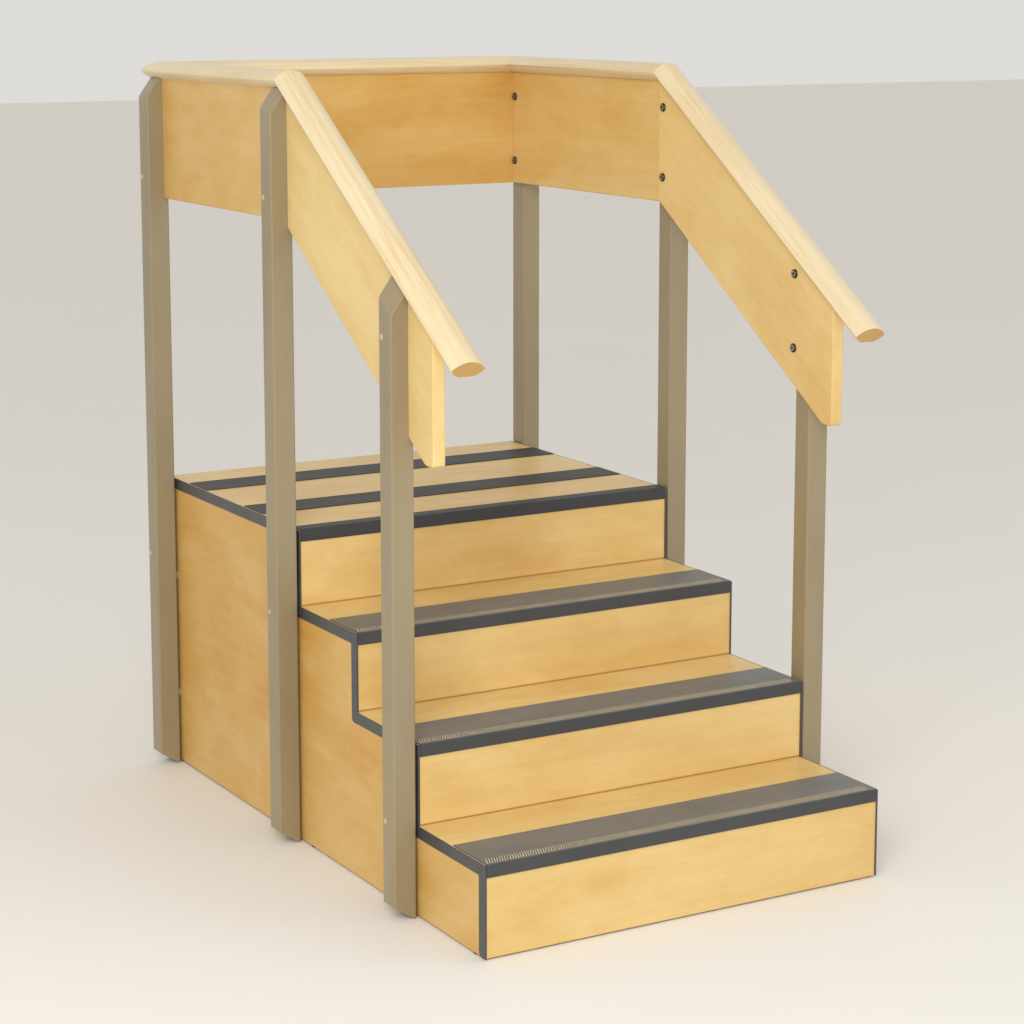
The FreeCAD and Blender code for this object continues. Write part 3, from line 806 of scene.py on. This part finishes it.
class STAIRS_OT_strips(bpy.types.Operator):
    """Flat vinyl strips across the platform"""

    bl_idname = "stairs.strips"
    bl_label = "Platform strips"

    def execute(self, context):
        finish = vinyl("Platform vinyl", colours().vinyl_platform, 0.22, shine=0.0, specular=0.25)
        for node in ("platform_strip_middle", "platform_strip_rear"):
            strip = add_block(node + "_vinyl", *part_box(node))
            with editing(strip):
                pick(strip, "FACE", facing(UP))
                bpy.ops.mesh.inset(thickness=sizes().strip_rim)
                bpy.ops.transform.translate(value=DOWN * sizes().strip_dip)
            round_edges(strip, sizes().trim_round, 2, 40)
            complete(strip, finish, "vinyl_charcoal", node)
        return {"FINISHED"}


class STAIRS_OT_stitching(bpy.types.Operator):
    """Zig-zag sewing along the front of each tread's vinyl"""

    bl_idname = "stairs.stitching"
    bl_label = "Stitching"

    def execute(self, context):
        size = sizes()
        tones = colours()
        low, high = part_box("tread_nosing_1")
        half = high.x - size.stitch_margin
        pitch = size.stitch_pitch
        count = int((2 * half - size.stitch_lean) / pitch)
        upper = (size.thread_radius, 0.6, size.stitch_lean, thread("Beige thread", tones.thread))
        # The returning legs are dark brown and lie low between the beige ones: painted shade in the seam
        under = (size.thread_radius * 0.8, 0.2, size.stitch_lean + pitch,
                 thread("Seam shade brown", tones.seam_shade_thread))
        legs = []
        for radius, rise, lean, finish in (upper, under):
            centre = (-half + lean / 2, low.y + size.stitch_setback, high.z + radius * rise)
            turn = (math.radians(90), 0, -math.atan2(lean, size.stitch_reach))
            leg = add_rod("stitch_leg", radius, math.hypot(lean, size.stitch_reach), centre, turn, 6)
            with editing(leg):
                cross_cut(centre, AHEAD)
                pick(leg, "FACE", lambda face: abs(face.normal.y) > 0.8)
                bpy.ops.transform.translate(value=DOWN * radius * 1.3)
            leg.data.materials.append(finish)
            modify(leg, "ARRAY", count=count, use_relative_offset=False, use_constant_offset=True,
                   constant_offset_displace=(pitch, 0, 0))
            legs.append(leg)
        seam_line = join(legs, "tread_stitching_1")
        with editing(seam_line):
            bpy.ops.mesh.select_all(action="SELECT")
            bpy.ops.transform.vertex_random(offset=size.thread_radius * 0.5, seed=5)
        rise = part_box("tread_nosing_2")[0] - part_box("tread_nosing_1")[0]
        lines = [seam_line] + [copy_of(seam_line, rise * (step - 1)) for step in TREADS[1:]]
        for step, line in zip(TREADS, lines):
            line.name = "tread_stitching_%d" % step
            activate(line)
            bpy.ops.object.shade_smooth_by_angle(angle=math.radians(60))
            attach(line, "root")
        return {"FINISHED"}


class STAIRS_OT_edge_bands(bpy.types.Operator):
    """Bands on the ends of the boards, and L-shaped strips on the ends of the risers"""

    bl_idname = "stairs.edge_bands"
    bl_label = "Edge bands"

    def execute(self, context):
        size = sizes()
        # The band colour goes on the upward faces only: a painted lighter top
        finish = vinyl("Edge band", colours().band, 0.06, 0.20, shine=0.5)
        for word, side in SIDES.items():
            for step in STEPS:
                node = "edge_trim_%s_%d" % (word, step)
                band = add_block(node + "_band", *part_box(node))
                with editing(band):
                    pick(band, "FACE", facing(ACROSS * side))
                    bpy.ops.mesh.inset(thickness=size.band_rim)
                round_edges(band, size.trim_round, 3)
                complete(band, finish, "edge_band", node)
                self.corner_strip(word, side, step, finish)
        return {"FINISHED"}

    def corner_strip(self, word, side, step, finish):
        """Side leg with its lower rear corner rounded, and a narrow front leg pushed out of it."""
        size = sizes()
        node = "corner_trim_%s_%d" % (word, step)
        low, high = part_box(node)
        board_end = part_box("tread_1")[1].x
        face_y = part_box("riser_%d" % step)[0].y
        front_low = low.z if step == 1 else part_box("tread_%d" % (step - 1))[1].z
        leg_low, leg_high = low.copy(), high.copy()
        if side > 0:
            leg_low.x = board_end
        else:
            leg_high.x = -board_end
        strip = add_block(node + "_strip", leg_low, leg_high)
        round_picked(strip, lambda edge: abs(edge_way(edge).x) > SQUARE_ON
                     and near(edge_middle(edge).y, high.y) and near(edge_middle(edge).z, low.z),
                     size.corner_round, 8)
        with editing(strip):
            cross_cut((0, face_y, 0), AHEAD)
            if front_low > low.z:
                cross_cut((0, 0, front_low), UP)
            pick(strip, "FACE", lambda face: face.normal.x * side < -SQUARE_ON
                 and face_middle(face).y < face_y and face_middle(face).z > front_low)
            push_out(ACROSS * -side * (high.x - low.x - (leg_high.x - leg_low.x)))
            merge_flat_faces()
        round_edges(strip, size.trim_round, 3)
        complete(strip, finish, "edge_band", node)


# ---- Posts ----
class STAIRS_OT_posts(bpy.types.Operator):
    """Six square posts with falling tops, raised toes and notches for the guards"""

    bl_idname = "stairs.posts"
    bl_label = "Posts"

    def execute(self, context):
        finish = post_paint("Taupe satin paint")
        for word, side in SIDES.items():
            for name in POSTS:
                node = "post_%s_%s" % (word, name)
                post = self.shaft(node, side)
                for part in ("level", "slope"):
                    carve(post, guard_blank("notch_tool", word, part, sizes().notch_slack))
                with editing(post):
                    bpy.ops.mesh.select_all(action="SELECT")
                    bpy.ops.mesh.remove_doubles(threshold=0.3 * NEAR)
                drop_slivers(post)
                complete(post, finish, "post_taupe", node)
        return {"FINISHED"}

    def shaft(self, node, side):
        """Post with rounded upright edges. Its top follows the guards and falls outwards beyond a flat, and
        its foot rises outwards beyond another."""
        size = sizes()
        low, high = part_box(node)
        width = high.x - low.x
        inner = low.x if side > 0 else high.x
        centre_z, bend_y = rail_line()
        way, above = slope_way()
        post = add_block(node + "_shaft", low, Vector((high.x, high.y, centre_z)))
        round_picked(post, lambda edge: abs(edge_way(edge).z) > SQUARE_ON, size.post_round)
        top_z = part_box("guard_left_level")[1].z
        under_slope = Vector((0, bend_y, centre_z)) - above * size.rail_belly
        shoulder = inner + side * size.post_flat
        outwards = Vector((side * (width - size.post_flat), 0, -size.post_fall))
        for point, along in ((Vector((0, bend_y, top_z)), AHEAD), (under_slope, way)):
            slice_off(post, point, towards(UP, ACROSS.cross(along)))
            slice_off(post, Vector((shoulder, point.y, point.z)), towards(UP, outwards.cross(along)))
        toe = Vector((inner + side * size.foot_flat, 0, 0))
        toe_way = Vector((side * (width - size.foot_flat), 0, size.foot_rise))
        slice_off(post, toe, towards(DOWN, toe_way.cross(AHEAD)))
        round_picked(post, lambda edge: edge.is_manifold and edge.calc_face_angle() > math.radians(12)
                     and abs(edge_way(edge).z) < 0.95, size.post_cut_round, 3, True)
        return post


# ---- Guards ----
class STAIRS_OT_guards(bpy.types.Operator):
    """Level and sloped guard panels on both sides, and the back guard"""

    bl_idname = "stairs.guards"
    bl_label = "Guards"
    # Painted light and shade per guard: the sloped guards, which got more light, are paler and the level
    # ones deeper
    tones = {("left", "level"): 0.20, ("left", "slope"): -0.34, ("right", "level"): 0.05,
             ("right", "slope"): -0.18}

    def execute(self, context):
        for number, word in enumerate(SIDES):
            for part, grain in (("level", GRAIN_Y), ("slope", grain_slope())):
                node = "guard_%s_%s" % (word, part)
                panel = guard_blank(node + "_panel", word, part)
                if part == "slope":
                    self.soften_toe(panel)
                self.round_lower(panel)
                move = 33.0 + 2.9 * number + (1.3 if part == "slope" else 0.0)
                shift = self.tones[word, part]
                complete(panel, maple("Maple " + node, grain, move, shift), "maple_laminate", node)
        low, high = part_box("guard_back")
        panel = add_block("guard_back_panel", low, high)
        self.round_lower(panel)
        finish = maple("Maple guard_back", GRAIN_X, 47.0, BACK_SHADE_SHIFT)
        complete(panel, finish, "maple_laminate", "guard_back")
        return {"FINISHED"}

    def soften_toe(self, panel):
        """Rounds the lowest corner of a sloped guard."""
        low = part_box("guard_left_slope")[0]
        round_picked(panel, lambda edge: abs(edge_way(edge).x) > SQUARE_ON
                     and near(edge_middle(edge).z, low.z, 0.002), sizes().toe_round)

    def round_lower(self, panel):
        """Rounds the long lower edges and the free front end, and just breaks the others."""
        seam_y = seam().y
        round_picked(panel, lambda edge: edge.is_manifold and abs(edge_way(edge).x) < 0.5
                     and any(face.normal.z < -0.5
                             or (face.normal.y < -SQUARE_ON and edge_middle(edge).y < seam_y - 0.1)
                             for face in edge.link_faces)
                     and not near(edge_middle(edge).y, seam_y, 0.001), sizes().guard_round, 4, True)
        round_edges(panel, sizes().edge_break, 1, 60)


# ---- Handrail ----
def rail_bar(name, length):
    """Lens-shaped bar along Y from the origin: the common part of two wide rods, with a flat seat."""
    size = sizes()
    low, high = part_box("rail_right_slope")
    half = (high.x - low.x) / 2
    sides = size.curve_sides
    crown_radius = (half ** 2 + size.rail_crown ** 2) / (2 * size.rail_crown)
    crown_centre = Vector((0, length / 2, size.rail_crown - crown_radius))
    bar = add_rod(name, crown_radius, length, crown_centre, ROD_ALONG_Y, sides)
    belly_radius = (half ** 2 + size.rail_depth ** 2) / (2 * size.rail_depth)
    belly_centre = Vector((0, length / 2, belly_radius - size.rail_depth))
    belly = add_rod("belly_tool", belly_radius, length + 0.01, belly_centre, ROD_ALONG_Y, sides)
    carve(bar, belly, "INTERSECT")
    slice_off(bar, Vector((0, 0, -size.rail_belly - size.rail_sink)), DOWN)
    with editing(bar):
        bpy.ops.mesh.select_all(action="SELECT")
        bpy.ops.mesh.remove_doubles(threshold=0.0009)
    round_picked(bar, lambda edge: abs(edge_way(edge).y) > SQUARE_ON
                 and near(edge_middle(edge).z, 0, 0.001) and abs(edge_middle(edge).x) > half - 0.003,
                 size.rail_tip_round, 3, True)
    return bar


def lay_bar(bar, start, turn):
    """Moves and turns a bar as an object, then puts that into its mesh."""
    activate(bar)
    bar.rotation_euler = turn
    bar.location = start
    return settle(bar.name)


RIM_STEPS = ((0.0006, 0.0008), (0.0008, 0.0003))  # inset and rise of a softened rim, in metres
END_RIM = 0.0012  # length of the rail's end that is left for the rim


class STAIRS_OT_rails(bpy.types.Operator):
    """Five mitred lengths of handrail"""

    bl_idname = "stairs.rails"
    bl_label = "Handrail"

    def execute(self, context):
        size = sizes()
        centre_z, bend_y = rail_line()
        way, above = slope_way()
        mitre = (way + AHEAD).normalized()
        bend = Vector((0, bend_y, centre_z))
        back_low, back_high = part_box("rail_back")
        back_y = (back_low.y + back_high.y) / 2
        centre_x = rail_centre_x()
        ends = end_grain("Rail end grain")
        spare = back_high.y - back_low.y
        for number, (word, side) in enumerate(SIDES.items()):
            corner = Vector((side * centre_x, back_y, centre_z))
            diagonal = Vector((-side, 1, 0)).normalized()
            bar = rail_bar("rail_%s_level_length" % word, back_y - bend_y + 2 * spare)
            bar = lay_bar(bar, Vector((side * centre_x, bend_y - spare, centre_z)), (0, 0, 0))
            slice_off(bar, bend, -mitre)
            slice_off(bar, corner, diagonal)
            self.finish_bar(bar, "Rail level " + word, GRAIN_Y, 5.0 + number, "rail_%s_level" % word)
            node = "rail_%s_slope" % word
            foot = self.slope_foot(node, way, above, bend)
            bar = rail_bar(node + "_length", (bend - foot).length + spare)
            bar = lay_bar(bar, foot + ACROSS * side * centre_x, (size.slope, 0, 0))
            slice_off(bar, bend, mitre)
            self.round_end(bar, -way)
            self.finish_bar(bar, "Rail slope " + word, grain_slope(), 9.0 + number, node)
            give_faces(bar, ends, facing(-way, END_ON))
        bar = rail_bar("rail_back_length", 2 * (centre_x + spare))
        bar = lay_bar(bar, Vector((centre_x + spare, back_y, centre_z)), (0, 0, math.radians(90)))
        for side in SIDES.values():
            corner = Vector((side * centre_x, back_y, centre_z))
            slice_off(bar, corner, Vector((side, -1, 0)).normalized())
        self.finish_bar(bar, "Rail back", GRAIN_X, 14.0, "rail_back")
        return {"FINISHED"}

    def slope_foot(self, node, way, above, bend):
        """Centre of the rail's lower end, from the CAD rail's most forward point, on the middle plane."""
        low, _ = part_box(node)
        crown_front = sizes().rail_crown * above.y
        reach = (bend.y - low.y + crown_front) / way.y
        return bend - way * (reach - END_RIM)

    def finish_bar(self, bar, title, grain, move, node):
        complete(bar, rail_wood(title, grain, move), "rail_maple", node, smooth=50)

    def round_end(self, bar, way):
        """Softens the rim of a cut end: the end face is set in and pushed out twice."""
        with editing(bar):
            pick(bar, "FACE", facing(way, END_ON))
            for width, rise in RIM_STEPS:
                bpy.ops.mesh.inset(thickness=width, use_even_offset=False)
                bpy.ops.transform.translate(value=way * rise)


# ---- Fasteners ----
class STAIRS_OT_bolts(bpy.types.Operator):
    """Domed bolts with hex sockets through the side guards"""

    bl_idname = "stairs.bolts"
    bl_label = "Guard bolts"

    def execute(self, context):
        places = solids_of("guard_bolts")
        low, high = next(box for box in places if box[0].x > 0)
        radius = (high.z - low.z) / 2
        guard_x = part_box("guard_right_level")[0].x
        head = guard_x - low.x
        bolt = add_rod("guard_bolt", radius, head, ACROSS * (guard_x - head / 2), ROD_ALONG_X, 36)
        with editing(bolt):
            pick(bolt, "FACE", facing(ACROSS))
            bpy.ops.mesh.inset(thickness=radius - sizes().bolt_shank)
            push_out(ACROSS * (high.x - guard_x))
        round_picked(bolt, lambda edge: near(edge_middle(edge).x, low.x)
                     and edge_middle(edge).yz.length > radius * 0.9, head * 0.72, 6)
        depth = head * 0.7
        tool = add_rod("hex_tool", sizes().socket_radius, depth * 2, (low.x, 0, 0), ROD_ALONG_X, 6)
        carve(bolt, tool)
        round_picked(bolt, lambda edge: edge.is_manifold and near(edge_middle(edge).x, low.x)
                     and edge.calc_face_angle() > math.radians(60), sizes().socket_round, 2)
        bolt.data.materials.append(metal("Dark bronze", colours().bronze, 0.28, 0.44))
        give_faces(bolt, metal("Bright socket", colours().zinc, 0.32, 0.5),
                   lambda face: face.normal.x < -SQUARE_ON and face_middle(face).yz.length < radius * 0.7)
        bolts = spread(bolt, places, "guard_bolt_set")
        complete(bolts, None, "bolt_bronze", "guard_bolts", smooth=30)
        return {"FINISHED"}


class STAIRS_OT_plugs(bpy.types.Operator):
    """Slightly domed wooden plugs on the posts' outer faces"""

    bl_idname = "stairs.plugs"
    bl_label = "Post plugs"

    def execute(self, context):
        places = solids_of("post_plugs")
        low, high = places[-1]
        radius = (high.z - low.z) / 2
        centre = ACROSS * (low.x + high.x) / 2
        plug = add_rod("post_plug", radius, high.x - low.x, centre, ROD_ALONG_X, 28)
        with editing(plug):
            pick(plug, "FACE", facing(ACROSS))
            bpy.ops.mesh.inset(thickness=radius * 0.25)
            bpy.ops.mesh.inset(thickness=radius * 0.3)
            bpy.ops.transform.translate(value=ACROSS * sizes().plug_dome)
        plugs = spread(plug, places, "post_plug_set")
        complete(plugs, plain_wood("Plug wood"), "plain_hardwood", "post_plugs")
        return {"FINISHED"}


class STAIRS_OT_inner_pieces(bpy.types.Operator):
    """Finishes on the pieces that stay as the frame has them"""

    bl_idname = "stairs.inner_pieces"
    bl_label = "Inner pieces"

    def execute(self, context):
        tones = colours()
        wood = plain_wood("Plain hardwood")
        steel = metal("Zinc plate", tones.zinc, 0.30, 0.45)
        plastic = nylon("Dark nylon")
        finishes = {
            "centre_stringer": maple("Maple stringer", GRAIN_Y, 60.0),
            "tread_cleats": wood,
            "platform_cleats": wood,
            "rail_dowels": wood,
            "body_bolts": metal("Dark bronze, inner", tones.bronze, 0.30, 0.44),
            "post_inserts": steel,
            "post_screws": steel,
            "post_spacers": post_paint("Taupe spacer paint"),
            "floor_glides": plastic,
        }
        for node, finish in finishes.items():
            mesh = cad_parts[node].data
            mesh.materials.clear()
            mesh.materials.append(finish)
        return {"FINISHED"}


# ---- Stage ----
class STAIRS_OT_stage(bpy.types.Operator):
    """Pale floor, even sky, two soft lights and the camera"""

    bl_idname = "stairs.stage"
    bl_label = "Stage"

    def execute(self, context):
        stage = context.scene.stair_stage
        bpy.ops.object.select_all(action="DESELECT")
        bpy.ops.mesh.primitive_plane_add(size=stage.floor_size, location=DOWN * stage.floor_gap)
        floor = settle("studio_floor")
        floor.data.materials.append(floor_finish("Studio floor"))
        world = bpy.data.worlds.new("Studio")
        world.use_nodes = True
        sky = world.node_tree.nodes["Background"]
        sky.inputs["Color"].default_value = solid(stage.sky_colour)
        sky.inputs["Strength"].default_value = stage.sky
        context.scene.world = world
        context.scene.view_settings.view_transform = "Standard"
        self.soft_light("key_light", stage.key_power, stage.key_size, Vector(stage.key_place))
        self.soft_light("fill_light", stage.fill_power, stage.fill_size, Vector(stage.fill_place))
        bpy.ops.object.camera_add(location=stage.camera_place, rotation=stage.camera_turn)
        camera = context.object
        camera.name = "studio_camera"
        camera.data.lens = stage.lens
        camera.data.shift_y = stage.shift
        camera.data.clip_end = stage.far_clip
        context.scene.camera = camera
        return {"FINISHED"}

    def soft_light(self, name, power, size, place):
        """Square area light aimed at the middle of the stairs."""
        target = (CAD_LOW + CAD_HIGH) / 2
        turn = (target - place).to_track_quat("-Z", "Y").to_euler()
        bpy.ops.object.light_add(type="AREA", location=place, rotation=turn)
        light = bpy.context.object
        light.name = name
        light.data.energy = power
        light.data.size = size


OPERATORS = (STAIRS_OT_boards, STAIRS_OT_side_panels, STAIRS_OT_nosings, STAIRS_OT_strips,
             STAIRS_OT_stitching, STAIRS_OT_edge_bands, STAIRS_OT_posts, STAIRS_OT_guards, STAIRS_OT_rails,
             STAIRS_OT_bolts, STAIRS_OT_plugs, STAIRS_OT_inner_pieces, STAIRS_OT_stage)


class STAIRS_PT_panel(bpy.types.Panel):
    """Lists the pieces of the training stairs"""

    bl_idname = "STAIRS_PT_panel"
    bl_label = "Training Stairs"
    bl_space_type = "VIEW_3D"
    bl_region_type = "UI"
    bl_category = "Training Stairs"

    def draw(self, context):
        for operator in OPERATORS:
            self.layout.operator(operator.bl_idname)


CLASSES = (StairSizes, StairColours, StageSettings, *OPERATORS, STAIRS_PT_panel)


def register():
    for cls in CLASSES:
        bpy.utils.register_class(cls)
    bpy.types.Scene.stair_sizes = PointerProperty(type=StairSizes)
    bpy.types.Scene.stair_colours = PointerProperty(type=StairColours)
    bpy.types.Scene.stair_stage = PointerProperty(type=StageSettings)


def unregister():
    del bpy.types.Scene.stair_stage
    del bpy.types.Scene.stair_colours
    del bpy.types.Scene.stair_sizes
    for cls in reversed(CLASSES):
        bpy.utils.unregister_class(cls)


def main():
    register()
    for operator in OPERATORS:
        group, name = operator.bl_idname.split(".")
        getattr(getattr(bpy.ops, group), name)()


if __name__ == "__main__":
    main()
